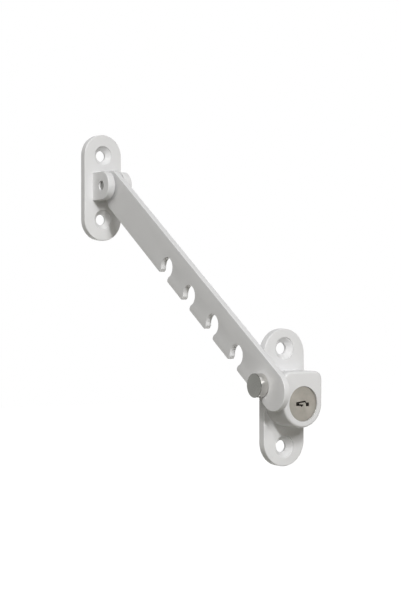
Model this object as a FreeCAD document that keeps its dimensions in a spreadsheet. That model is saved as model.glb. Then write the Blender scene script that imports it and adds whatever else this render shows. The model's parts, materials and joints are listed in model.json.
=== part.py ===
import FreeCAD, Part
import math
import os
import re

import Sketcher

# Lockable window restrictor: a frame bracket with a clevis, a notched arm that swings in it, and a lock
# housing whose stud the arm's last notch hooks on. A key turns the plug, the plug's pin pushes the driver
# plate, and the stud slides out until its neck lies in the arm's plane and the arm lifts off.
#
# Frame: millimetres, +Z up, +X along the plates' width, +Y into the window. The origin is the centre of the
# frame bracket's back face. Inside the lock, places are measured from the centre of the cylinder's face.

doc = FreeCAD.newDocument("window_restrictor")
sheet = doc.addObject("Spreadsheet::Sheet", "sizes")

DRIVING = [
    # frame bracket
    ("plateWidth", 22.0), ("plateHeight", 55.4), ("plateThick", 3.8), ("plateRound", 0.5),
    ("screwSpacing", 33.4), ("screwHole", 5.5), ("screwSink", 9.6), ("screwRim", 10.2),
    ("screwStep", 0.6),
    ("clevisShift", 0.85), ("clevisGap", 6.1), ("earThick", 4.05), ("earRadius", 7.4), ("earRound", 0.5),
    ("pivotReach", 8.7), ("pivotRise", 0.45),
    # pivot pin and washers
    ("pinWidth", 5.0), ("pinSink", 0.95), ("pinChamfer", 0.15), ("washerWidth", 9.0), ("washerPlay", 0.1),
    # radial clearances: a part that turns or slides, and one that is pressed or seated
    ("runFit", 0.05), ("seatFit", 0.02),
    # arm
    ("armThick", 3.0), ("armSlope", 35.03), ("armTop", 8.0), ("armHeight", 18.2), ("armRound", 0.35),
    ("heelStart", 4.6), ("hookReach", 7.7),
    ("firstNotch", 68.8), ("notchPitch", 24.0), ("notchCount", 5),
    ("notchRadius", 4.95), ("notchRise", 5.65), ("notchMouth", 7.5), ("notchLip", 1.2),
    # lock housing and its screw plate
    ("sideGap", 1.04), ("lockWidth", 22.8), ("lockHeight", 63.0), ("lockThick", 3.8), ("lockRound", 0.5),
    ("lockSpacing", 44.8), ("lockHole", 5.5), ("lockSink", 9.6), ("lockRim", 10.5), ("lockStep", 0.5),
    ("lockShift", 2.14),
    ("barrelRadius", 10.76), ("barrelTop", 14.65), ("barrelCorner", 3.85), ("barrelDepth", 14.35),
    ("barrelRound", 1.2), ("barrelRoot", 0.3),
    # stud, its guide bush and its place in the housing
    ("studWidth", 8.4), ("studHead", 11.0), ("headThick", 4.0), ("headGap", 0.2), ("headRound", 0.25),
    ("neckWidth", 7.0), ("neckGap", 0.4), ("neckLength", 3.6),
    ("studRise", 8.3), ("studDepth", 11.0), ("hangGap", 0.05), ("studFlat", 2.4),
    ("studEnd", 8.0), ("studFlatStart", 5.8), ("endGap", 0.3),
    ("bushWall", 1.0), ("bushSink", 0.2), ("bushLength", 5.2),
    # cylinder shell
    ("shellFace", 15.9), ("shellBody", 11.5), ("shellFlange", 1.2), ("shellEnd", 12.0),
    ("grooveHeight", 5.4), ("grooveDepth", 0.5), ("grooveStart", 2.6), ("grooveEnd", 9.6),
    # plug, whose flange covers the shell, its keyway and its clip
    ("plugSink", 0.7), ("plugPlay", 0.07), ("plugBody", 9.6), ("plugFlange", 1.05), ("plugEnd", 12.95),
    ("plugBevel", 0.05), ("plugGap", 0.05), ("keywayWidth", 7.4), ("keywayEnd", 9.6),
    ("clipGroove", 7.4), ("clipStart", 12.1), ("clipThick", 0.5), ("clipWidth", 10.4), ("clipPlay", 0.05),
    ("clipMouth", 5.0),
    # wafers and their springs
    ("waferCount", 3), ("waferStart", 3.2), ("waferPitch", 2.0), ("waferThick", 0.8), ("waferPlay", 0.05),
    ("waferHeight", 4.9), ("windowWidth", 7.35), ("windowHeight", 2.9),
    ("footHeight", 0.9), ("footWidth", 0.7), ("footStart", -0.8), ("springRoom", 2.5),
    ("springWire", 0.2), ("springWidth", 0.78), ("springPitch", 0.48),
    # cam pin and driver plate
    ("camReach", 2.62), ("camAngle", 45.0), ("camPinWidth", 1.6), ("camPinStart", 10.4), ("camPinEnd", 14.4),
    ("camPlay", 0.15), ("driverThick", 1.2), ("driverWidth", 5.6), ("driverTop", 11.3),
    ("driverBottom", -0.4),
    ("driverScrewWidth", 2.0), ("driverScrewHead", 3.4), ("driverScrewHeadThick", 1.0),
    ("driverScrewEnd", 9.4),
    # pocket in the back of the housing, its cover and the cover's screws
    ("pocketSide", 6.2), ("pocketTop", 12.6), ("pocketBottom", -3.4), ("pocketRound", 1.5),
    ("pocketStart", 13.1), ("coverSide", 8.2), ("coverTop", 13.3), ("coverBottom", -9.7),
    ("coverThick", 1.2), ("coverSink", 0.2), ("coverPlay", 0.1),
    ("coverScrewSide", 5.0), ("coverScrewHeight", -7.4), ("coverScrewWidth", 2.0),
    ("coverScrewHead", 3.6), ("coverScrewSinkDepth", 0.8), ("coverScrewEnd", 12.6),
    # pin that holds the shell in the housing
    ("shellPinWidth", 1.8), ("shellPinDepth", 5.5), ("shellPinSink", 0.4), ("shellPinPlay", 0.25),
    # recess in the screws' heads
    ("recessWidth", 0.5), ("recessDepth", 0.45),
]
for row, (alias, value) in enumerate(DRIVING, start=1):
    sheet.set(f"A{row}", alias)
    sheet.set(f"B{row}", str(value))
    sheet.setAlias(f"B{row}", alias)
doc.recompute()

# Places that follow from the driving sizes
DERIVED = {
    "pivotY": "-(plateThick + pivotReach)",
    "armLeft": "clevisShift - armThick / 2",
    "armRight": "clevisShift + armThick / 2",
    "armLow": "armTop - armHeight",
    "armHalf": "armHeight / 2",
    "notchV": "armLow + notchRise",
    "lastNotch": "firstNotch + notchPitch * (notchCount - 1)",
    "studY": "pivotY - lastNotch * cos(armSlope) - notchV * sin(armSlope)",
    "notchZ": "pivotRise - lastNotch * sin(armSlope) + notchV * cos(armSlope)",
    "studZ": "notchZ + notchRadius - studWidth / 2 - hangGap",
    "lockX": "armRight + sideGap + lockWidth / 2",
    "lockY": "studY - studDepth",
    "lockZ": "studZ - studRise",
    "lockBack": "barrelDepth + lockThick",
    # the arm's faces seen from the cylinder's axis
    "armSide": "-(sideGap + lockWidth / 2)",
    "neckStart": "armSide + neckGap",
    "headInner": "armSide - armThick - headGap",
    "camX": "camReach * sin(camAngle)",
    "camZ": "camReach * cos(camAngle)",
    "flatDepth": "studDepth + studFlat",
    "slotHalf": "camPinWidth / 2 + camPlay",
    "coverFront": "lockBack - coverSink - coverThick",
    "plugRim": "shellFace / 2 + seatFit - plugPlay",
    "shellStart": "plugSink + plugFlange + plugGap",
    "shellPinTop": "plugBody / 2 + shellPinPlay",
}


def ex(text):
    """Writes an expression for the document from one in plain names."""
    def word(match):
        name = match.group(0)
        if name in DERIVED:
            return "(" + ex(DERIVED[name]) + ")"
        if name in aliases:
            return "sizes." + name
        return name
    return re.sub(r"[A-Za-z]+", word, str(text))


aliases = {alias for alias, value in DRIVING}


def number(text):
    return float(sheet.evalExpression(ex(text)))


def bind(thing, prop, text):
    thing.setExpression(prop, ex(text))


# Sketches. Each point is held by its distances from the sketch's origin, and each arc by its centre, its
# radius and the coordinate of its ends that changes most along it.

class Outline:
    def __init__(self, body, name, plane, offset="0"):
        self.sketch = body.newObject("Sketcher::SketchObject", name)
        origin = [f for f in body.Origin.OriginFeatures if f.Role == plane][0]
        self.sketch.AttachmentSupport = [(origin, "")]
        self.sketch.MapMode = "FlatFace"
        bind(self.sketch, "AttachmentOffset.Base.z", offset)

    def hold(self, kind, geometry, point, text):
        arguments = (-1, 1, geometry, point) if point else (geometry,)
        index = self.sketch.addConstraint(Sketcher.Constraint(kind, *arguments, number(text)))
        name = f"size{index}"
        self.sketch.renameConstraint(index, name)
        bind(self.sketch, f"Constraints.{name}", text)

    def circle(self, x, y, radius):
        centre = FreeCAD.Vector(number(x), number(y), 0)
        index = self.sketch.addGeometry(Part.Circle(centre, FreeCAD.Vector(0, 0, 1), number(radius)))
        self.hold("DistanceX", index, 3, x)
        self.hold("DistanceY", index, 3, y)
        self.hold("Radius", index, 0, radius)
        return self

    def path(self, steps):
        """Closed path. A step is (x, y) for a line, or (x, y, centre x, centre y, radius, turn) for an
        arc."""
        last = steps[-1]
        for step in steps:
            if len(step) == 2:
                self.line(last, step)
            else:
                self.arc(last, step)
            last = step
        return self

    def line(self, start, end):
        first = FreeCAD.Vector(number(start[0]), number(start[1]), 0)
        second = FreeCAD.Vector(number(end[0]), number(end[1]), 0)
        index = self.sketch.addGeometry(Part.LineSegment(first, second))
        for point, place in ((1, start), (2, end)):
            self.hold("DistanceX", index, point, place[0])
            self.hold("DistanceY", index, point, place[1])

    def arc(self, start, end):
        cx, cy, radius, turn = end[2:]
        angles = [math.atan2(number(p[1]) - number(cy), number(p[0]) - number(cx)) for p in (start, end)]
        ends = [start, end]
        if turn < 0:
            angles.reverse()
            ends.reverse()
        circle = Part.Circle(FreeCAD.Vector(number(cx), number(cy), 0), FreeCAD.Vector(0, 0, 1),
                             number(radius))
        index = self.sketch.addGeometry(Part.ArcOfCircle(circle, *angles))
        self.hold("DistanceX", index, 3, cx)
        self.hold("DistanceY", index, 3, cy)
        self.hold("Radius", index, 0, radius)
        for point, angle, place in ((1, angles[0], ends[0]), (2, angles[1], ends[1])):
            if abs(math.sin(angle)) > abs(math.cos(angle)):
                self.hold("DistanceX", index, point, place[0])
            else:
                self.hold("DistanceY", index, point, place[1])

    def slot(self, x, low, high, radius):
        """Upright slot between two centres."""
        left, right = f"{x} - ({radius})", f"{x} + ({radius})"
        return self.path([
            (right, low, x, low, radius, 1), (right, high),
            (left, high, x, high, radius, 1), (left, low),
        ])

    def rounded(self, left, right, bottom, top, radius):
        """Rectangle with round corners."""
        inLeft, inRight = f"{left} + {radius}", f"{right} - {radius}"
        inBottom, inTop = f"{bottom} + {radius}", f"{top} - {radius}"
        return self.path([
            (inRight, bottom), (right, inBottom, inRight, inBottom, radius, 1),
            (right, inTop), (inRight, top, inRight, inTop, radius, 1),
            (inLeft, top), (left, inTop, inLeft, inTop, radius, 1),
            (left, inBottom), (inLeft, bottom, inLeft, inBottom, radius, 1),
        ])

    def box(self, left, right, bottom, top):
        return self.path([(right, bottom), (right, top), (left, top), (left, bottom)])


def newBody(label, x="0", y="0", z="0"):
    body = doc.addObject("PartDesign::Body", label)
    body.Label = label
    for axis, place in zip("xyz", (x, y, z)):
        bind(body, f"Placement.Base.{axis}", place)
    return body


def lockBody(label):
    """A piece of the lock, whose origin is the centre of the cylinder's face."""
    return newBody(label, "lockX", "lockY", "lockZ")


def pad(body, outline, length, back=False):
    feature = body.newObject("PartDesign::Pad", "pad")
    feature.Profile = outline.sketch
    feature.Reversed = back
    bind(feature, "Length", length)
    body.Tip = feature
    doc.recompute()
    return feature


def cut(body, outline, length, back=False):
    before = body.Shape.Volume
    feature = body.newObject("PartDesign::Pocket", "pocket")
    feature.Profile = outline.sketch
    feature.Reversed = back
    bind(feature, "Length", length)
    body.Tip = feature
    doc.recompute()
    if not body.Shape.Volume < before - 1e-4:
        raise RuntimeError(f"{outline.sketch.Label} cuts nothing from {body.Label}")
    return feature


def spin(body, name, points, plane="XY_Plane", axis="Y"):
    """Turned solid: a path of (x, y) points in the sketch, turned about one of the body's axes."""
    outline = Outline(body, name, plane).path(points)
    feature = body.newObject("PartDesign::Revolution", "turned")
    feature.Profile = outline.sketch
    line = [f for f in body.Origin.OriginFeatures if f.Role == f"{axis}_Axis"][0]
    feature.ReferenceAxis = (line, [""])
    feature.Angle = 360
    body.Tip = feature
    doc.recompute()
    return feature


def dress(body, kind, size, wanted):
    """Fillets or chamfers the edges for which wanted(box, edge) is true."""
    base = body.Tip
    edges = [f"Edge{i}" for i, edge in enumerate(base.Shape.Edges, start=1)
             if wanted(edge.BoundBox, edge)]
    feature = body.newObject(f"PartDesign::{kind}", kind.lower())
    feature.Base = (base, edges)
    bind(feature, "Radius" if kind == "Fillet" else "Size", size)
    body.Tip = feature
    doc.recompute()
    return feature


def near(first, second):
    return abs(first - second) < 1e-3


def onPlane(axis, place):
    """Test for the edges that lie in a plane across an axis."""
    low, high = f"{axis}Min", f"{axis}Max"
    return lambda box, edge: near(getattr(box, low), place) and near(getattr(box, high), place)


# Frame bracket: screw plate and the two ears of the clevis, one casting

def screwHoles(body, centre, spacing, hole, sink, rim, step, face, thick):
    """Two countersunk holes, one above the other: a straight step at the face, then a right-angled cone."""
    for name, height in (("Low", f"{centre} - {spacing} / 2"), ("High", f"{centre} + {spacing} / 2")):
        recess = Outline(body, f"step{name}", "XZ_Plane", f"-({face})")
        cut(body, recess.circle("0", height, f"{rim} / 2"), step)
        through = Outline(body, f"hole{name}", "XZ_Plane", f"-({face})")
        through.circle("0", height, f"{hole} / 2")
        cut(body, through, thick)
        place = number(f"{face} + {step}")
        wide = number(f"{hole} / 2")
        at = number(height)
        before = body.Shape.Volume
        dress(body, "Chamfer", f"({sink} - {hole}) / 2",
              lambda box, edge: near(box.YMin, place) and near(box.YMax, place)
              and near(box.XMax, wide) and near(box.ZMax, at + wide))
        assert body.Shape.Volume < before


def frameBracket():
    body = newBody("frame_bracket")
    reach = "(plateHeight - plateWidth) / 2"
    pad(body, Outline(body, "plate", "XZ_Plane").slot("0", f"-{reach}", reach, "plateWidth / 2"),
        "plateThick")
    dress(body, "Fillet", "plateRound", onPlane("Y", number("-plateThick")))
    ears = [("left", "clevisShift - clevisGap / 2 - earThick"), ("right", "clevisShift + clevisGap / 2")]
    for side, start in ears:
        outline = Outline(body, f"{side}Ear", "YZ_Plane", start).path([
            ("pivotY", "pivotRise - earRadius", "pivotY", "pivotRise", "earRadius", 1),
            ("-plateThick / 2", "pivotRise - earRadius"),
            ("-plateThick / 2", "pivotRise + earRadius"),
            ("pivotY", "pivotRise + earRadius"),
        ])
        pad(body, outline, "earThick")
    bore = Outline(body, "pinHole", "YZ_Plane", "clevisShift + clevisGap / 2 + earThick")
    bore.circle("pivotY", "pivotRise", "pinWidth / 2 + seatFit")
    cut(body, bore, "clevisGap + 2 * earThick")
    front = number("-plateThick")
    sides = [number(start) for side, start in ears] + [number(f"{start} + earThick") for side, start in ears]
    holeTop = number("pivotRise + pinWidth / 2 + seatFit")
    dress(body, "Fillet", "earRound",
          lambda box, edge: box.YMin < front - 1 and not near(box.ZMax, holeTop)
          and any(near(box.XMin, side) and near(box.XMax, side) for side in sides))
    screwHoles(body, "0", "screwSpacing", "screwHole", "screwSink", "screwRim", "screwStep",
               "-plateThick", "plateThick")
    return body


def pivotPin():
    body = newBody("pivot_pin", "clevisShift - clevisGap / 2 - earThick + pinSink", "pivotY", "pivotRise")
    pad(body, Outline(body, "pinRound", "YZ_Plane").circle("0", "0", "pinWidth / 2"),
        "clevisGap + 2 * earThick - 2 * pinSink")
    dress(body, "Chamfer", "pinChamfer", lambda box, edge: near(box.XMin, box.XMax))


def armWashers():
    starts = {
        "left": "clevisShift - clevisGap / 2 + washerPlay",
        "right": "armRight + washerPlay",
    }
    for side, start in starts.items():
        body = newBody(f"arm_washer_{side}", start, "pivotY", "pivotRise")
        ring = Outline(body, f"{side}Ring", "YZ_Plane").circle("0", "0", "washerWidth / 2")
        ring.circle("0", "0", "pinWidth / 2 + runFit")
        pad(body, ring, "(clevisGap - armThick) / 2 - 2 * washerPlay")


# Arm: flat bar with open notches in its lower edge. In its own frame the pivot is the origin, -Y runs
# along the arm and Z across it.

def arm():
    body = newBody("arm", "armLeft", "pivotY", "pivotRise")
    body.Placement = FreeCAD.Placement(body.Placement.Base, FreeCAD.Rotation(FreeCAD.Vector(1, 0, 0), 30))
    bind(body, "Placement.Rotation.Angle", "armSlope")
    hookY, hookZ = "-(lastNotch + hookReach)", "armTop - armHalf"
    pad(body, Outline(body, "bar", "YZ_Plane").path([
        (hookY, "armLow", hookY, hookZ, "armHalf", 1),
        ("-heelStart", "armLow"),
        ("0", "-armTop"),
        ("0", "armTop", "0", "0", "armTop", 1),
        (hookY, "armTop"),
    ]), "armThick")
    bore = Outline(body, "armHole", "YZ_Plane", "armThick").circle("0", "0", "pinWidth / 2 + runFit")
    cut(body, bore, "armThick")
    half = "notchMouth / 2"
    drop = "sqrt(notchRadius ^ 2 - notchMouth ^ 2 / 4)"
    left, right = f"-firstNotch - {half}", f"-firstNotch + {half}"
    lipLow, lipHigh = "armLow", "armLow + notchLip"
    notch = cut(body, Outline(body, "notch", "YZ_Plane", "armThick").path([
        (left, f"notchV - {drop}", "-firstNotch", "notchV", "notchRadius", 1),
        (left, lipHigh),
        (f"{left} - notchLip", lipLow, f"{left} - notchLip", lipHigh, "notchLip", -1),
        (f"{left} - notchLip", "armLow - notchLip"),
        (f"{right} + notchLip", "armLow - notchLip"),
        (f"{right} + notchLip", lipLow),
        (right, lipHigh, f"{right} + notchLip", lipHigh, "notchLip", -1),
        (right, f"notchV - {drop}"),
    ]), "armThick")
    row = body.newObject("PartDesign::LinearPattern", "notchRow")
    row.Originals = [notch]
    row.Direction = ([f for f in body.Origin.OriginFeatures if f.Role == "Y_Axis"][0], [""])
    row.Reversed = True
    bind(row, "Length", "notchPitch * (notchCount - 1)")
    bind(row, "Occurrences", "notchCount")
    body.Tip = row
    doc.recompute()
    holeTop = number("pinWidth / 2 + runFit")
    faces = (0.0, number("armThick"))
    dress(body, "Fillet", "armRound",
          lambda box, edge: any(near(box.XMin, f) and near(box.XMax, f) for f in faces)
          and not near(box.ZMax, holeTop))


# Lock housing: screw plate and U-shaped barrel, one casting

def lockHousing():
    body = lockBody("lock_housing")
    reach = "(lockHeight - lockWidth) / 2"
    plate = Outline(body, "lockPlate", "XZ_Plane", "-lockBack")
    pad(body, plate.slot("0", f"lockShift - {reach}", f"lockShift + {reach}", "lockWidth / 2"), "lockThick")
    dress(body, "Fillet", "lockRound", onPlane("Y", number("barrelDepth")))
    corner, top = "barrelRadius - barrelCorner", "barrelTop - barrelCorner"
    barrel = Outline(body, "barrel", "XZ_Plane", "-lockBack").path([
        ("barrelRadius", "0", "0", "0", "barrelRadius", 1),
        ("barrelRadius", top),
        (corner, "barrelTop", corner, top, "barrelCorner", 1),
        (f"-({corner})", "barrelTop"),
        ("-barrelRadius", top, f"-({corner})", top, "barrelCorner", 1),
        ("-barrelRadius", "0"),
    ])
    pad(body, barrel, "lockBack")
    dress(body, "Fillet", "barrelRound", onPlane("Y", 0.0))
    face, side = number("barrelDepth"), number("barrelRadius") + 0.01
    dress(body, "Fillet", "barrelRoot",
          lambda box, edge: onPlane("Y", face)(box, edge) and box.XMin > -side and box.XMax < side
          and box.ZMax < number("barrelTop") + 0.01)
    # seat of the cylinder, stepped
    cut(body, Outline(body, "faceSeat", "XZ_Plane").circle("0", "0", "shellFace / 2 + seatFit"),
        "shellStart + shellFlange")
    cut(body, Outline(body, "shellSeat", "XZ_Plane").circle("0", "0", "shellBody / 2 + seatFit"),
        "pocketStart")
    # bore of the stud and counterbore of its bush, from the left
    stud = Outline(body, "studBore", "YZ_Plane", "studEnd + endGap")
    cut(body, stud.circle("studDepth", "studRise", "studWidth / 2 + runFit"),
        "studEnd + endGap + lockWidth / 2 + sideGap")
    bush = Outline(body, "bushBore", "YZ_Plane", "-barrelRadius + bushSink + bushLength")
    cut(body, bush.circle("studDepth", "studRise", "studWidth / 2 + runFit + bushWall + seatFit"),
        "bushSink + bushLength + lockWidth / 2")
    # pocket of the driver plate and seat of its cover, from the back
    pocket = Outline(body, "driverPocket", "XZ_Plane", "-lockBack")
    cut(body, pocket.rounded("-pocketSide", "pocketSide", "pocketBottom", "pocketTop", "pocketRound"),
        "lockBack - pocketStart", back=True)
    seat = Outline(body, "coverSeat", "XZ_Plane", "-lockBack")
    cut(body, seat.rounded("-coverSide", "coverSide", "coverBottom", "coverTop", "pocketRound"),
        "coverSink + coverThick", back=True)
    taps = Outline(body, "coverTaps", "XZ_Plane", "-coverFront")
    for side in ("-", ""):
        taps.circle(f"{side}coverScrewSide", "coverScrewHeight", "coverScrewWidth / 2 + seatFit")
    cut(body, taps, "coverFront - coverScrewEnd", back=True)
    # bore of the pin that holds the shell, from below
    bore = Outline(body, "shellPinBore", "XY_Plane", "-barrelRadius - 1")
    cut(body, bore.circle("0", "shellPinDepth", "shellPinWidth / 2 + seatFit"),
        "barrelRadius + 1 - shellPinTop", back=True)
    screwHoles(body, "lockShift", "lockSpacing", "lockHole", "lockSink", "lockRim", "lockStep",
               "barrelDepth", "lockThick")


# Stud: head, shank, neck and a rear end with two flats, turned about X

def stud():
    body = lockBody("stud")
    bind(body, "Placement.Base.y", "studY")
    bind(body, "Placement.Base.z", "studZ")
    spin(body, "studTurned", [
        ("headInner - headThick", "studHead / 2"), ("headInner", "studHead / 2"),
        ("headInner", "studWidth / 2"), ("neckStart", "studWidth / 2"),
        ("neckStart", "neckWidth / 2"), ("neckStart + neckLength", "neckWidth / 2"),
        ("neckStart + neckLength", "studWidth / 2"), ("studEnd", "studWidth / 2"),
        ("studEnd", "0"), ("headInner - headThick", "0"),
    ], axis="X")
    headFace, head = number("headInner - headThick"), number("studHead / 2")
    dress(body, "Fillet", "headRound",
          lambda box, edge: onPlane("X", headFace)(box, edge) and near(box.ZMax, head))
    far = "studWidth"
    under = Outline(body, "underFlat", "XZ_Plane", far)
    cut(body, under.box("-studFlatStart", "studEnd + 1", f"-{far}", "-studFlat"), f"2 * {far}")
    rear = Outline(body, "rearFlat", "XY_Plane", f"-{far}")
    start = "camX - driverWidth / 2 - endGap"
    cut(body, rear.box(start, "studEnd + 1", "studFlat", far), f"2 * {far}", back=True)
    tap = Outline(body, "driverTap", "XZ_Plane", "-studFlat")
    cut(body, tap.circle("camX", "0", "driverScrewWidth / 2 + seatFit"),
        "flatDepth - driverScrewEnd", back=True)


def studBush():
    body = lockBody("stud_bush")
    bind(body, "Placement.Base.y", "studY")
    bind(body, "Placement.Base.z", "studZ")
    ring = Outline(body, "bushRing", "YZ_Plane", "-barrelRadius + bushSink")
    ring.circle("0", "0", "studWidth / 2 + runFit + bushWall").circle("0", "0", "studWidth / 2 + runFit")
    pad(body, ring, "bushLength")


# Lock cylinder

def cylinderShell():
    body = lockBody("cylinder_shell")
    spin(body, "shellTurned", [
        ("shellFace / 2", "shellStart"), ("shellFace / 2", "shellStart + shellFlange"),
        ("shellBody / 2", "shellStart + shellFlange"), ("shellBody / 2", "shellEnd"),
        ("plugBody / 2 + runFit", "shellEnd"), ("plugBody / 2 + runFit", "shellStart"),
    ])
    broach = Outline(body, "waferGrooves", "XZ_Plane", "-grooveStart")
    wide = "plugBody / 2 + grooveDepth"
    cut(body, broach.box(f"-({wide})", wide, "-grooveHeight / 2", "grooveHeight / 2"),
        "grooveEnd - grooveStart")
    hole = Outline(body, "shellPinHole", "XY_Plane", "-shellBody")
    cut(body, hole.circle("0", "shellPinDepth", "shellPinWidth / 2 + seatFit"),
        "shellBody - plugBody / 4", back=True)


# Corners of the keyway, as shares of its width, clockwise from the upper left
KEY_PROFILE = [
    (-0.49, 0.10), (-0.37, 0.12), (0.16, 0.19), (0.23, 0.17), (0.27, 0.07), (0.49, 0.07), (0.49, -0.16),
    (0.26, -0.16), (0.25, 0.00), (0.18, 0.09), (-0.26, 0.035), (-0.26, -0.015), (0.06, -0.04),
    (0.06, -0.13), (-0.03, -0.14), (-0.05, -0.19), (-0.11, -0.19), (-0.13, -0.13), (-0.49, -0.11),
]


def plug():
    body = lockBody("plug")
    spin(body, "plugTurned", [
        ("0", "plugSink"), ("plugRim - plugBevel", "plugSink"),
        ("plugRim", "plugSink + plugBevel"), ("plugRim", "plugSink + plugFlange"),
        ("plugBody / 2", "plugSink + plugFlange"), ("plugBody / 2", "clipStart"),
        ("clipGroove / 2", "clipStart"), ("clipGroove / 2", "clipStart + clipThick + 2 * clipPlay"),
        ("plugBody / 2", "clipStart + clipThick + 2 * clipPlay"), ("plugBody / 2", "plugEnd"),
        ("0", "plugEnd"),
    ])
    # keyway: a block at the left, a slanted bar over a web, a lower bar with a tooth, and a square shoulder
    keyway = Outline(body, "keyway", "XZ_Plane").path([
        (f"{x} * keywayWidth", f"{z} * keywayWidth") for x, z in KEY_PROFILE
    ])
    cut(body, keyway, "keywayEnd")
    for index in range(int(number("waferCount"))):
        start = f"waferStart + {index} * waferPitch"
        room = Outline(body, f"waferSlot{index + 1}", "XZ_Plane", f"-({start})")
        cut(body, room.box("-plugBody", "plugBody", "-waferHeight / 2 - waferPlay",
                           "waferHeight / 2 + waferPlay"), "waferThick + 2 * waferPlay")
        nest = Outline(body, f"springNest{index + 1}", "XZ_Plane", f"-({start})")
        cut(body, nest.box("footStart - waferPlay", "springRoom",
                           "-waferHeight / 2 - footHeight - waferPlay", "-waferHeight / 2"),
            "waferThick + 2 * waferPlay")
    hole = Outline(body, "camPinHole", "XZ_Plane", "-camPinStart")
    cut(body, hole.circle("camX", "camZ", "camPinWidth / 2 + seatFit"), "plugEnd - camPinStart")


def wafers():
    """Flat tumblers, drawn level with the plug's surface, each with a foot that its spring presses on."""
    for index in range(int(number("waferCount"))):
        start = f"waferStart + waferPlay + {index} * waferPitch"
        body = lockBody(f"wafer_{index + 1}")
        plate = Outline(body, f"waferPlate{index + 1}", "XZ_Plane", f"-({start} + waferThick)")
        top = "waferHeight / 2"
        edge = "sqrt(plugBody ^ 2 / 4 - waferHeight ^ 2 / 4) - runFit"
        foot = "footStart + footWidth"
        low = "-waferHeight / 2 - footHeight + waferPlay"
        plate.path([
            (edge, f"-{top}"), (edge, top), (f"-({edge})", top), (f"-({edge})", f"-{top}"),
            ("footStart", f"-{top}"), ("footStart", low), (foot, low), (foot, f"-{top}"),
        ])
        pad(body, plate, "waferThick")
        window = Outline(body, f"waferWindow{index + 1}", "XZ_Plane", f"-({start})")
        cut(body, window.box("-windowWidth / 2", "windowWidth / 2", "-windowHeight / 2", "windowHeight / 2"),
            "waferThick")


def waferSprings():
    """Coil springs between each wafer's foot and the plug, along X."""
    for index in range(int(number("waferCount"))):
        coil = doc.addObject("Part::Helix", f"springCoil{index + 1}")
        bind(coil, "Pitch", "springPitch")
        bind(coil, "Height", "springRoom - footStart - footWidth - 2 * springWire - 2 * waferPlay")
        bind(coil, "Radius", "(springWidth - springWire) / 2")
        wire = doc.addObject("Part::Circle", f"springWire{index + 1}")
        bind(wire, "Radius", "springWire / 2")
        wire.Placement = FreeCAD.Placement(FreeCAD.Vector(), FreeCAD.Rotation(FreeCAD.Vector(1, 0, 0), 90))
        bind(wire, "Placement.Base.x", "(springWidth - springWire) / 2")
        spring = doc.addObject("Part::Sweep", f"wafer_spring_{index + 1}")
        spring.Label = f"wafer_spring_{index + 1}"
        spring.Sections = [wire]
        spring.Spine = (coil, [])
        spring.Solid = True
        spring.Frenet = True
        # the coil's own Z axis is laid along X
        spring.Placement = FreeCAD.Placement(FreeCAD.Vector(), FreeCAD.Rotation(FreeCAD.Vector(0, 1, 0), 90))
        bind(spring, "Placement.Base.x", "lockX + footStart + footWidth + springWire + waferPlay")
        bind(spring, "Placement.Base.y",
             f"lockY + waferStart + waferPlay + waferThick / 2 + {index} * waferPitch")
        bind(spring, "Placement.Base.z", "lockZ - waferHeight / 2 - footHeight / 2")


def camPin():
    body = lockBody("cam_pin")
    shape = Outline(body, "camPinRound", "XZ_Plane", "-camPinEnd")
    pad(body, shape.circle("camX", "camZ", "camPinWidth / 2"), "camPinEnd - camPinStart")


def plugClip():
    body = lockBody("plug_clip")
    ring = Outline(body, "clipRing", "XZ_Plane", "-(clipStart + clipPlay + clipThick)")
    ring.circle("0", "0", "clipWidth / 2").circle("0", "0", "clipGroove / 2 + clipPlay")
    pad(body, ring, "clipThick")
    mouth = Outline(body, "clipMouth", "XZ_Plane", "-(clipStart + clipPlay)")
    cut(body, mouth.box("-clipMouth / 2", "clipMouth / 2", "-clipWidth", "0"), "clipThick")


def shellPin():
    body = lockBody("cylinder_pin")
    pin = Outline(body, "shellPinRound", "XY_Plane", "-barrelRadius + shellPinSink")
    pad(body, pin.circle("0", "shellPinDepth", "shellPinWidth / 2"),
        "barrelRadius - shellPinSink - shellPinTop")


# Driver plate on the stud's rear flat, with the upright slot that the cam pin moves in, and its screw

def driverPlate():
    body = lockBody("driver_plate")
    half = "driverWidth / 2"
    plate = Outline(body, "driverSheet", "XZ_Plane", "-(flatDepth + driverThick)")
    plate.box(f"camX - {half}", f"camX + {half}", "driverBottom", "driverTop")
    pad(body, plate, "driverThick")
    slot = Outline(body, "driverSlot", "XZ_Plane", "-flatDepth")
    cut(body, slot.slot("camX", "camZ - camPlay", "camReach + camPlay", "slotHalf"), "driverThick")
    hole = Outline(body, "driverHole", "XZ_Plane", "-flatDepth")
    cut(body, hole.circle("camX", "studRise", "driverScrewWidth / 2 + runFit"), "driverThick")


def driverScrew():
    body = lockBody("driver_screw")
    shank = Outline(body, "driverShank", "XZ_Plane", "-(flatDepth + driverThick)")
    pad(body, shank.circle("camX", "studRise", "driverScrewWidth / 2"),
        "flatDepth + driverThick - driverScrewEnd - endGap")
    head = Outline(body, "driverHead", "XZ_Plane", "-(flatDepth + driverThick + driverScrewHeadThick)")
    pad(body, head.circle("camX", "studRise", "driverScrewHead / 2"), "driverScrewHeadThick")
    recess = Outline(body, "driverRecess", "XZ_Plane", "-(flatDepth + driverThick + driverScrewHeadThick)")
    cut(body, recess.box("camX - driverScrewHead", "camX + driverScrewHead",
                         "studRise - recessWidth / 2", "studRise + recessWidth / 2"),
        "recessDepth", back=True)


# Rear cover and its countersunk screws

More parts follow.
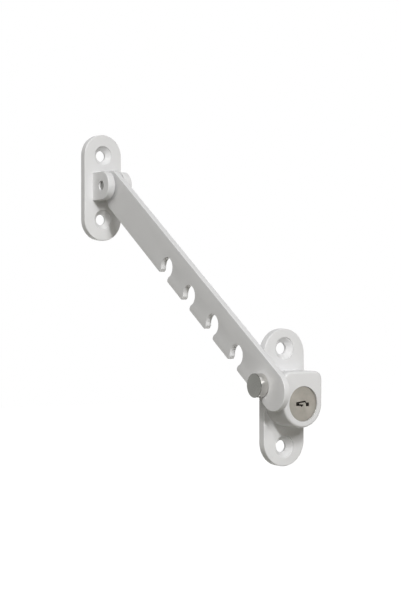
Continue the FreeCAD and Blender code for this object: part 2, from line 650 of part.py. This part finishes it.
def rearCover():
    body = lockBody("rear_cover")
    sheetMetal = Outline(body, "coverSheet", "XZ_Plane", "-(lockBack - coverSink)")
    sheetMetal.rounded("-coverSide + coverPlay", "coverSide - coverPlay", "coverBottom + coverPlay",
                       "coverTop - coverPlay", "(pocketRound - coverPlay)")
    pad(body, sheetMetal, "coverThick")
    holes = Outline(body, "coverHoles", "XZ_Plane", "-(lockBack - coverSink)")
    for side in ("-", ""):
        holes.circle(f"{side}coverScrewSide", "coverScrewHeight", "coverScrewWidth / 2 + runFit")
    cut(body, holes, "coverThick", back=True)
    back = number("lockBack - coverSink")
    rim = number("coverScrewHeight + coverScrewWidth / 2 + runFit")
    dress(body, "Chamfer", "coverScrewSinkDepth",
          lambda box, edge: onPlane("Y", back)(box, edge) and near(box.ZMax, rim))


def coverScrews():
    for index, side in ((1, "-"), (2, "")):
        body = newBody(f"cover_screw_{index}", f"lockX + ({side}coverScrewSide)", "lockY",
                       "lockZ + coverScrewHeight")
        back = "lockBack - coverSink"
        radius = "coverScrewWidth / 2"
        spin(body, f"coverScrewTurned{index}", [
            ("0", back), (f"{radius} + coverScrewSinkDepth", back),
            (radius, f"{back} - coverScrewSinkDepth"), (radius, "coverScrewEnd + endGap"),
            ("0", "coverScrewEnd + endGap"),
        ])
        recess = Outline(body, f"coverRecess{index}", "XZ_Plane", f"-({back})")
        cut(body, recess.box("-coverScrewHead", "coverScrewHead", "-recessWidth / 2", "recessWidth / 2"),
            "recessDepth", back=True)


for make in (frameBracket, pivotPin, armWashers, arm, lockHousing, stud, studBush, cylinderShell, plug,
             wafers, waferSprings, camPin, plugClip, shellPin, driverPlate, driverScrew, rearCover,
             coverScrews):
    make()
doc.recompute()

failed = [thing.Label for thing in doc.Objects if {"Invalid", "Error"} & set(thing.State)]
pieces = [thing for thing in doc.Objects if thing.TypeId in ("PartDesign::Body", "Part::Sweep")]
failed += [piece.Label for piece in pieces if piece.Shape.isNull() or not piece.Shape.isValid()]
if failed:
    raise RuntimeError("failed: " + ", ".join(failed))

os.makedirs("parts", exist_ok=True)
for piece in pieces:
    piece.Shape.exportStep(f"parts/{piece.Label}.step")
    box = piece.Shape.BoundBox
    print(f"{piece.Label:16s} {piece.Shape.Volume:9.2f} mm3  x {box.XMin:8.2f} {box.XMax:8.2f}"
          f"  y {box.YMin:8.2f} {box.YMax:8.2f}  z {box.ZMin:8.2f} {box.ZMax:8.2f}")
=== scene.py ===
import bmesh
import bpy
import json
import math
from mathutils import Matrix, Vector

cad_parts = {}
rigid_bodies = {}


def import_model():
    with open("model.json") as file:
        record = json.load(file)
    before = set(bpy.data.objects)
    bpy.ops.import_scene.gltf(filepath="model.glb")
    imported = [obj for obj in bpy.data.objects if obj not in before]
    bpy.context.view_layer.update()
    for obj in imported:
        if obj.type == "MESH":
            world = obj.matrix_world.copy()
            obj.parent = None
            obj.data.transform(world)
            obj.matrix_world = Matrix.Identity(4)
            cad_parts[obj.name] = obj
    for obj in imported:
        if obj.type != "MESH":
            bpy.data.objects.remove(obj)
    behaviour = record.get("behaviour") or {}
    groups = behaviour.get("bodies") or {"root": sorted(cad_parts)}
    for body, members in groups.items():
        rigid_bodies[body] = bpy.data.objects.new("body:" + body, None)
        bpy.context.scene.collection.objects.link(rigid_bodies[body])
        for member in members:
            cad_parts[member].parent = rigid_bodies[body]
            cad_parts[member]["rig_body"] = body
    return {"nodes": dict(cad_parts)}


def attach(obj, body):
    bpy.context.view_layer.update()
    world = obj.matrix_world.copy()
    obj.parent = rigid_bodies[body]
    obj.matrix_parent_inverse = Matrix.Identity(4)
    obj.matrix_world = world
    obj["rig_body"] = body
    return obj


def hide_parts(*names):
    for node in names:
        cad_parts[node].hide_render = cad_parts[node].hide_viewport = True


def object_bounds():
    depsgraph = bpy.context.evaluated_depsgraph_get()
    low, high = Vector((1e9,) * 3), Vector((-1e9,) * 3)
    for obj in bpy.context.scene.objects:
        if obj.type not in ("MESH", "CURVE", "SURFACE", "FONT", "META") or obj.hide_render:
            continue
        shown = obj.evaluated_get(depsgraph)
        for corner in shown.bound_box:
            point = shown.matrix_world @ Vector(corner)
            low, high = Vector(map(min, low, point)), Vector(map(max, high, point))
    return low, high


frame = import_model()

nodes = frame["nodes"]
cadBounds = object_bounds()
print("frame loaded:", len(nodes), "CAD pieces")

mm = 0.001
white = (1, 1, 1, 1)


# Nodes of a material

noiseSpan = (0.3, 0.7)   # the noise values over which a colour or a roughness goes from low to high


def newMaterial(name):
    material = bpy.data.materials.new(name)
    material.use_nodes = True
    tree = material.node_tree
    shader = tree.nodes["Principled BSDF"]
    return material, tree, shader


def addNode(tree, kind, inputs=None, **settings):
    # settings are the node's own choices, inputs the values of its sockets
    node = tree.nodes.new(kind)
    for key, value in settings.items():
        setattr(node, key, value)
    for key, value in (inputs or {}).items():
        node.inputs[key].default_value = value
    return node


def noiseNode(tree, scale, detail=3.0, rough=0.5, packing=(1, 1, 1)):
    # noise over the piece's own coordinates; packed closer along one axis, it runs in streaks across it
    where = addNode(tree, "ShaderNodeTexCoord")
    mapping = addNode(tree, "ShaderNodeMapping", {"Scale": packing})
    noise = addNode(tree, "ShaderNodeTexNoise", {"Scale": scale, "Detail": detail, "Roughness": rough})
    tree.links.new(where.outputs["Object"], mapping.inputs["Vector"])
    tree.links.new(mapping.outputs["Vector"], noise.inputs["Vector"])
    return noise


def spreadColour(tree, shader, noise, dark, light):
    ramp = addNode(tree, "ShaderNodeValToRGB")
    low, high = ramp.color_ramp.elements
    low.position, high.position = noiseSpan
    low.color = (*dark, 1)
    high.color = (*light, 1)
    tree.links.new(noise.outputs["Fac"], ramp.inputs["Fac"])
    tree.links.new(ramp.outputs["Color"], shader.inputs["Base Color"])


def spreadRough(tree, shader, noise, low, high):
    spans = {"From Min": noiseSpan[0], "From Max": noiseSpan[1], "To Min": low, "To Max": high}
    spread = addNode(tree, "ShaderNodeMapRange", spans)
    tree.links.new(noise.outputs["Fac"], spread.inputs["Value"])
    tree.links.new(spread.outputs["Result"], shader.inputs["Roughness"])


def addBump(tree, shader, noise, strength, depth):
    bump = addNode(tree, "ShaderNodeBump", {"Strength": strength, "Distance": depth})
    tree.links.new(noise.outputs["Fac"], bump.inputs["Height"])
    tree.links.new(bump.outputs["Normal"], shader.inputs["Normal"])


# Finishes: noise scales are per metre, bump depths in metres

powderCoat = {
    "dark": (0.72, 0.72, 0.727),
    "light": (0.745, 0.745, 0.752),
    "patch": 60.0,          # slow changes of tone and gloss
    "grain": 1900.0,        # the orange peel of the coat
    "grainDetail": 2.0,
    "roughLow": 0.20,
    "roughHigh": 0.27,
    "gloss": 0.35,
    "bump": 0.25,
    "bumpDepth": 0.00003,
}


def paintMaterial(name):
    material, tree, shader = newMaterial(name)
    patch = noiseNode(tree, powderCoat["patch"])
    grain = noiseNode(tree, powderCoat["grain"], powderCoat["grainDetail"])
    spreadColour(tree, shader, patch, powderCoat["dark"], powderCoat["light"])
    spreadRough(tree, shader, patch, powderCoat["roughLow"], powderCoat["roughHigh"])
    shader.inputs["Specular IOR Level"].default_value = powderCoat["gloss"]
    addBump(tree, shader, grain, powderCoat["bump"], powderCoat["bumpDepth"])
    return material


washerNylon = {
    "colour": (0.80, 0.80, 0.78),
    "shade": 0.85,          # the dark places' share of the colour
    "rough": 0.5,
    "grain": 1200.0,
    "bump": 0.2,
    "bumpDepth": 0.00002,
}


def nylonMaterial(name):
    material, tree, shader = newMaterial(name)
    light = washerNylon["colour"]
    dark = tuple(part * washerNylon["shade"] for part in light)
    grain = noiseNode(tree, washerNylon["grain"])
    spreadColour(tree, shader, grain, dark, light)
    shader.inputs["Roughness"].default_value = washerNylon["rough"]
    addBump(tree, shader, grain, washerNylon["bump"], washerNylon["bumpDepth"])
    return material


metalGrain = {
    "tone": 180.0,          # slow changes of tone
    "toneDetail": 4.0,
    "brush": 900.0,         # fine marks, in gloss and bump
    "brushDetail": 3.0,
    "noiseRough": 0.6,
    "glossSpread": 0.15,    # how far the roughness goes up and down, as a share of it
    "bump": 0.3,
    "bumpDepth": 0.00002,
    "ringTurn": 0.25,       # a quarter turn, so that the highlight stretches across the rings
}
metals = {
    "pinSteel": {"dark": (0.20, 0.20, 0.19), "light": (0.26, 0.26, 0.25), "rough": 0.4},
    "bushBrass": {"dark": (0.60, 0.44, 0.20), "light": (0.68, 0.52, 0.26), "rough": 0.35},
    "shellNickel": {"dark": (0.52, 0.50, 0.46), "light": (0.58, 0.56, 0.52), "rough": 0.4},
    "plugNickel": {"dark": (0.235, 0.228, 0.202), "light": (0.285, 0.264, 0.238), "rough": 0.42,
                   "turned": 0.6},
    "camSteel": {"dark": (0.45, 0.45, 0.45), "light": (0.52, 0.52, 0.52), "rough": 0.3},
    "clipSteel": {"dark": (0.12, 0.12, 0.14), "light": (0.18, 0.18, 0.20), "rough": 0.35},
    "dowelSteel": {"dark": (0.42, 0.42, 0.42), "light": (0.5, 0.5, 0.5), "rough": 0.3},
    "driverSteel": {"dark": (0.45, 0.45, 0.44), "light": (0.55, 0.55, 0.54), "rough": 0.38,
                    "packing": (1, 1, 12)},
    "coverZinc": {"dark": (0.5, 0.5, 0.5), "light": (0.6, 0.6, 0.6), "rough": 0.42,
                  "packing": (12, 1, 1)},
    "waferNickel": {"dark": (0.10, 0.095, 0.08), "light": (0.14, 0.13, 0.11), "rough": 0.4,
                    "packing": (1, 1, 10)},
    "springSteel": {"dark": (0.35, 0.35, 0.35), "light": (0.45, 0.45, 0.45), "rough": 0.3},
    "screwSteel": {"dark": (0.5, 0.5, 0.5), "light": (0.6, 0.6, 0.6), "rough": 0.35},
}


def spreadMetalRough(tree, shader, noise, rough):
    spread = metalGrain["glossSpread"]
    spreadRough(tree, shader, noise, rough * (1 - spread), rough * (1 + spread))


def metalMaterial(name, dark, light, rough, packing=(1, 1, 1), turned=0.0):
    material, tree, shader = newMaterial(name)
    shader.inputs["Metallic"].default_value = 1.0
    noiseRough = metalGrain["noiseRough"]
    tone = noiseNode(tree, metalGrain["tone"], metalGrain["toneDetail"], noiseRough)
    brush = noiseNode(tree, metalGrain["brush"], metalGrain["brushDetail"], noiseRough, packing)
    spreadColour(tree, shader, tone, dark, light)
    spreadMetalRough(tree, shader, brush, rough)
    addBump(tree, shader, brush, metalGrain["bump"], metalGrain["bumpDepth"])
    if turned:
        # fine rings turned around Y stretch the highlight along the radius
        rings = addNode(tree, "ShaderNodeTangent", direction_type="RADIAL", axis="Y")
        tree.links.new(rings.outputs["Tangent"], shader.inputs["Tangent"])
        shader.inputs["Anisotropic"].default_value = turned
        shader.inputs["Anisotropic Rotation"].default_value = metalGrain["ringTurn"]
    return material


studSteelAndPaintedShade = {
    "reach": 2.0,           # mm from the head's face that the bands are worked out over
    "faceEnd": 0.06,        # mm from the head's face
    "bevelEnd": 0.27,
    # painted dark reflection: the face is made darker than the rim of the same steel
    "face": (0.20, 0.20, 0.185),
    # painted shade: a near-black band for the shade line between the face and the rim
    "bevelPaintedShade": (0.05, 0.05, 0.045),
    "rim": (0.66, 0.65, 0.63),
    "rough": 0.14,
    "grain": 1500.0,
    "grainDetail": 3.0,
    "bump": 0.25,
    "bumpDepth": 0.00001,
}


def paintedShadeStudMaterial(name):
    # bands along X from the head's face: a dark face that is a painted dark reflection, a near-black bevel
    # band that is painted shade, then the bright turned rim and shank
    material, tree, shader = newMaterial(name)
    shader.inputs["Metallic"].default_value = 1.0
    reach = studSteelAndPaintedShade["reach"]
    headFace = min(corner[0] for corner in nodes["stud"].bound_box)
    where = addNode(tree, "ShaderNodeTexCoord")
    axes = addNode(tree, "ShaderNodeSeparateXYZ")
    tree.links.new(where.outputs["Object"], axes.inputs[0])
    spans = {"From Min": headFace, "From Max": headFace + reach * mm}
    along = addNode(tree, "ShaderNodeMapRange", spans)
    tree.links.new(axes.outputs["X"], along.inputs["Value"])
    bands = addNode(tree, "ShaderNodeValToRGB")
    bands.color_ramp.interpolation = "CONSTANT"
    # the face band is a painted dark reflection and the bevel band after it is painted shade
    bands.color_ramp.elements[0].color = (*studSteelAndPaintedShade["face"], 1)
    bands.color_ramp.elements[1].position = studSteelAndPaintedShade["faceEnd"] / reach
    bands.color_ramp.elements[1].color = (*studSteelAndPaintedShade["bevelPaintedShade"], 1)
    rim = bands.color_ramp.elements.new(studSteelAndPaintedShade["bevelEnd"] / reach)
    rim.color = (*studSteelAndPaintedShade["rim"], 1)
    tree.links.new(along.outputs["Result"], bands.inputs["Fac"])
    tree.links.new(bands.outputs["Color"], shader.inputs["Base Color"])
    grain = noiseNode(tree, studSteelAndPaintedShade["grain"], studSteelAndPaintedShade["grainDetail"], metalGrain["noiseRough"])
    spreadMetalRough(tree, shader, grain, studSteelAndPaintedShade["rough"])
    addBump(tree, shader, grain, studSteelAndPaintedShade["bump"], studSteelAndPaintedShade["bumpDepth"])
    return material


materials = {name: metalMaterial(name, **choice) for name, choice in metals.items()}
materials["powderCoat"] = paintMaterial("powderCoat")
materials["washerNylon"] = nylonMaterial("washerNylon")
materials["studSteelAndPaintedShade"] = paintedShadeStudMaterial("studSteelAndPaintedShade")
print("materials made:", len(materials))

# Which finish each CAD piece has
finishes = {
    "powderCoat": ["frame_bracket", "arm", "lock_housing"],
    "pinSteel": ["pivot_pin"],
    "studSteelAndPaintedShade": ["stud"],
    "bushBrass": ["stud_bush"],
    "shellNickel": ["cylinder_shell"],
    "plugNickel": ["plug"],
    "camSteel": ["cam_pin"],
    "clipSteel": ["plug_clip"],
    "dowelSteel": ["cylinder_pin"],
    "driverSteel": ["driver_plate"],
    "coverZinc": ["rear_cover"],
    "washerNylon": ["arm_washer_left", "arm_washer_right"],
    "waferNickel": ["wafer_1", "wafer_2", "wafer_3"],
    "springSteel": ["wafer_spring_1", "wafer_spring_2", "wafer_spring_3"],
    "screwSteel": ["driver_screw", "cover_screw_1", "cover_screw_2"],
}

# The pieces seen from the front are shown as smooth-shaded copies with these names
pieceNames = {
    "frame_bracket": "bracketCasting",
    "arm": "armBar",
    "lock_housing": "lockCasting",
    "stud": "hookStud",
    "pivot_pin": "pivotPin",
    "cylinder_shell": "cylinderShell",
    "plug": "cylinderPlug",
}
smoothing = {
    "sharpAngle": 32.0,         # degrees: an edge that turns more stays sharp
    "mergeDistance": 0.000002,  # m
}


def setMaterial(mesh, material):
    mesh.materials.clear()
    mesh.materials.append(material)


def smoothCopy(node, pieceName, material):
    # a merged copy of the CAD mesh, shaded smooth except across real edges
    source = nodes[node]
    mesh = source.data.copy()
    mesh.name = pieceName
    work = bmesh.new()
    work.from_mesh(mesh)
    bmesh.ops.remove_doubles(work, verts=work.verts, dist=smoothing["mergeDistance"])
    for face in work.faces:
        face.smooth = True
    limit = math.radians(smoothing["sharpAngle"])
    for edge in work.edges:
        edge.smooth = len(edge.link_faces) == 2 and edge.calc_face_angle(0.0) < limit
    work.to_mesh(mesh)
    work.free()
    piece = bpy.data.objects.new(pieceName, mesh)
    bpy.context.scene.collection.objects.link(piece)
    setMaterial(mesh, material)
    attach(piece, source["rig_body"])
    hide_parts(node)


for finish, nodeNames in finishes.items():
    for node in nodeNames:
        if node in pieceNames:
            smoothCopy(node, pieceNames[node], materials[finish])
        else:
            setMaterial(nodes[node].data, materials[finish])
print("finishes given to", sum(len(nodeNames) for nodeNames in finishes.values()), "pieces")


# Room: a white background and a pale floor

room = {
    "strength": 0.01,                   # of the even light from all round
    "floorHeight": -0.34,               # m
    "floorHalf": 3.0,                   # m from the floor's middle to its sides
    "floorTint": (0.25, 0.24, 0.20),    # the floor as it lights the object
    "floorRough": 0.9,
    "floorShown": (0.85, 0.85, 0.85),   # the floor as the camera sees it
    "floorNear": 0.45,                  # m from the middle: the glow is least up to here
    "floorFar": 0.62,                   # and full from here on
    "glowLeast": 0.35,
    "glowFull": 1.0,
}


def anyRay(tree, path, kinds):
    # 1 for a ray of any of these kinds
    seen = path.outputs[kinds[0]]
    for kind in kinds[1:]:
        either = addNode(tree, "ShaderNodeMath", operation="MAXIMUM")
        tree.links.new(seen, either.inputs[0])
        tree.links.new(path.outputs[kind], either.inputs[1])
        seen = either.outputs[0]
    return seen


def mixShaders(tree, factor, first, second):
    # the first where the factor is 0, the second where it is 1
    mix = addNode(tree, "ShaderNodeMixShader")
    tree.links.new(factor, mix.inputs[0])
    tree.links.new(first.outputs[0], mix.inputs[1])
    tree.links.new(second.outputs[0], mix.inputs[2])
    return mix


def makeRoom():
    # camera, glossy and transmission rays see white, and all others a weak even light
    world = bpy.data.worlds.new("room")
    bpy.context.scene.world = world
    world.use_nodes = True
    tree = world.node_tree
    even = tree.nodes["Background"]
    even.inputs["Color"].default_value = white
    even.inputs["Strength"].default_value = room["strength"]
    shown = addNode(tree, "ShaderNodeBackground", {"Color": white, "Strength": 1.0})
    path = addNode(tree, "ShaderNodeLightPath")
    seen = anyRay(tree, path, ("Is Camera Ray", "Is Glossy Ray", "Is Transmission Ray"))
    mix = mixShaders(tree, seen, even, shown)
    tree.links.new(mix.outputs[0], tree.nodes["World Output"].inputs["Surface"])


def paleGlow(tree):
    # a pale matt surface with a glow that grows from the middle of the floor outwards
    shown = addNode(tree, "ShaderNodeBsdfDiffuse", {"Color": (*room["floorShown"], 1)})
    where = addNode(tree, "ShaderNodeTexCoord")
    reach = addNode(tree, "ShaderNodeVectorMath", operation="LENGTH")
    tree.links.new(where.outputs["Object"], reach.inputs[0])
    spans = {"From Min": room["floorNear"], "From Max": room["floorFar"],
             "To Min": room["glowLeast"], "To Max": room["glowFull"]}
    fade = addNode(tree, "ShaderNodeMapRange", spans)
    tree.links.new(reach.outputs["Value"], fade.inputs["Value"])
    glow = addNode(tree, "ShaderNodeEmission")
    tree.links.new(fade.outputs["Result"], glow.inputs["Strength"])
    both = addNode(tree, "ShaderNodeAddShader")
    tree.links.new(shown.outputs[0], both.inputs[0])
    tree.links.new(glow.outputs[0], both.inputs[1])
    return both


def floorMaterial(name):
    material, tree, shader = newMaterial(name)
    shader.inputs["Base Color"].default_value = (*room["floorTint"], 1)
    shader.inputs["Roughness"].default_value = room["floorRough"]
    path = addNode(tree, "ShaderNodeLightPath")
    seen = anyRay(tree, path, ("Is Camera Ray", "Is Glossy Ray"))
    above = mixShaders(tree, seen, shader, paleGlow(tree))
    # from below the floor is clear, so that it doesn't hide the part
    facing = addNode(tree, "ShaderNodeNewGeometry")
    below = addNode(tree, "ShaderNodeMath", operation="MULTIPLY")
    tree.links.new(facing.outputs["Backfacing"], below.inputs[0])
    tree.links.new(path.outputs["Is Camera Ray"], below.inputs[1])
    clear = addNode(tree, "ShaderNodeBsdfTransparent")
    last = mixShaders(tree, below.outputs[0], above, clear)
    tree.links.new(last.outputs[0], tree.nodes["Material Output"].inputs["Surface"])
    return material


def makeFloor():
    half = room["floorHalf"]
    z = room["floorHeight"]
    corners = [(-half, -half, z), (half, -half, z), (half, half, z), (-half, half, z)]
    mesh = bpy.data.meshes.new("floor")
    mesh.from_pydata(corners, [], [(0, 1, 2, 3)])
    mesh.materials.append(floorMaterial("floorPale"))
    floor = bpy.data.objects.new("floor", mesh)
    bpy.context.scene.collection.objects.link(floor)


# Lamps stand in a direction from the object's middle. Distances and sizes are in metres, leans in degrees.
# The two keys are small ones high in front: a strip that leans to the left, and one above it. The big boxes
# fill in from both sides. The one behind is for the back views, and no glossy ray sees it.
lamps = {
    "keyStrip": {"from": (-0.36, -1.0, 0.50), "distance": 3.0, "width": 0.16, "length": 0.95,
                 "lean": 35.0, "power": 51.0, "tint": (1.0, 1.0, 1.0), "shines": True},
    "highKey": {"from": (-0.24, -1.0, 0.70), "distance": 3.0, "width": 0.25, "length": 0.45,
                "lean": 0.0, "power": 16.0, "tint": (1.0, 1.0, 1.0), "shines": True},
    "upperLeftBox": {"from": (-0.75, -0.35, 0.60), "distance": 1.3, "width": 0.8, "length": 0.8,
                     "lean": 0.0, "power": 5.4, "tint": (1.0, 0.99, 0.955), "shines": True},
    "rightBox": {"from": (0.75, -0.70, 0.25), "distance": 1.3, "width": 1.2, "length": 1.2,
                 "lean": 0.0, "power": 1.3, "tint": (1.0, 0.96, 0.84), "shines": True},
    "backBox": {"from": (0.56, 0.83, 0.10), "distance": 1.5, "width": 1.0, "length": 1.0,
                "lean": 0.0, "power": 16.0, "tint": (1.0, 1.0, 1.0), "shines": False},
}


def softBox(name):
    choice = lamps[name]
    lamp = bpy.data.lights.new(name, "AREA")
    lamp.shape = "RECTANGLE"
    lamp.size = choice["width"]
    lamp.size_y = choice["length"]
    lamp.energy = choice["power"]
    lamp.color = choice["tint"]
    box = bpy.data.objects.new(name, lamp)
    bpy.context.scene.collection.objects.link(box)
    low, high = cadBounds
    away = Vector(choice["from"]).normalized()
    box.location = (low + high) / 2 + away * choice["distance"]
    lean = Matrix.Rotation(math.radians(choice["lean"]), 3, "Z")
    box.rotation_euler = (away.to_track_quat("Z", "Y").to_matrix() @ lean).to_euler()
    box.visible_camera = False
    box.visible_glossy = choice["shines"]


makeRoom()
makeFloor()
for name in lamps:
    softBox(name)
print("room made, with", len(lamps), "lamps")


# The camera stands where the photograph was taken from, turned to the right of the plates' normal
camera = {
    "place": (-425.78, -725.23, -58.97),   # mm
    "tilt": 90.0,                          # degrees: it looks level
    "turn": 34.04,                         # degrees to the right of +Y
    "focalPixels": 1597.3,
    "frameHeight": 601,                    # pixels
    "sensor": 36.0,                        # mm
    "nearest": 0.05,                       # m
    "farthest": 20.0,
}


def makeCamera():
    data = bpy.data.cameras.new("view")
    data.sensor_width = camera["sensor"]
    data.lens = camera["focalPixels"] * camera["sensor"] / camera["frameHeight"]
    data.clip_start = camera["nearest"]
    data.clip_end = camera["farthest"]
    seat = bpy.data.objects.new("view", data)
    seat.location = Vector(camera["place"]) * mm
    seat.rotation_euler = (math.radians(camera["tilt"]), 0, -math.radians(camera["turn"]))
    bpy.context.scene.collection.objects.link(seat)
    bpy.context.scene.camera = seat


makeCamera()
bpy.context.scene.view_settings.view_transform = "Standard"
print("camera placed")
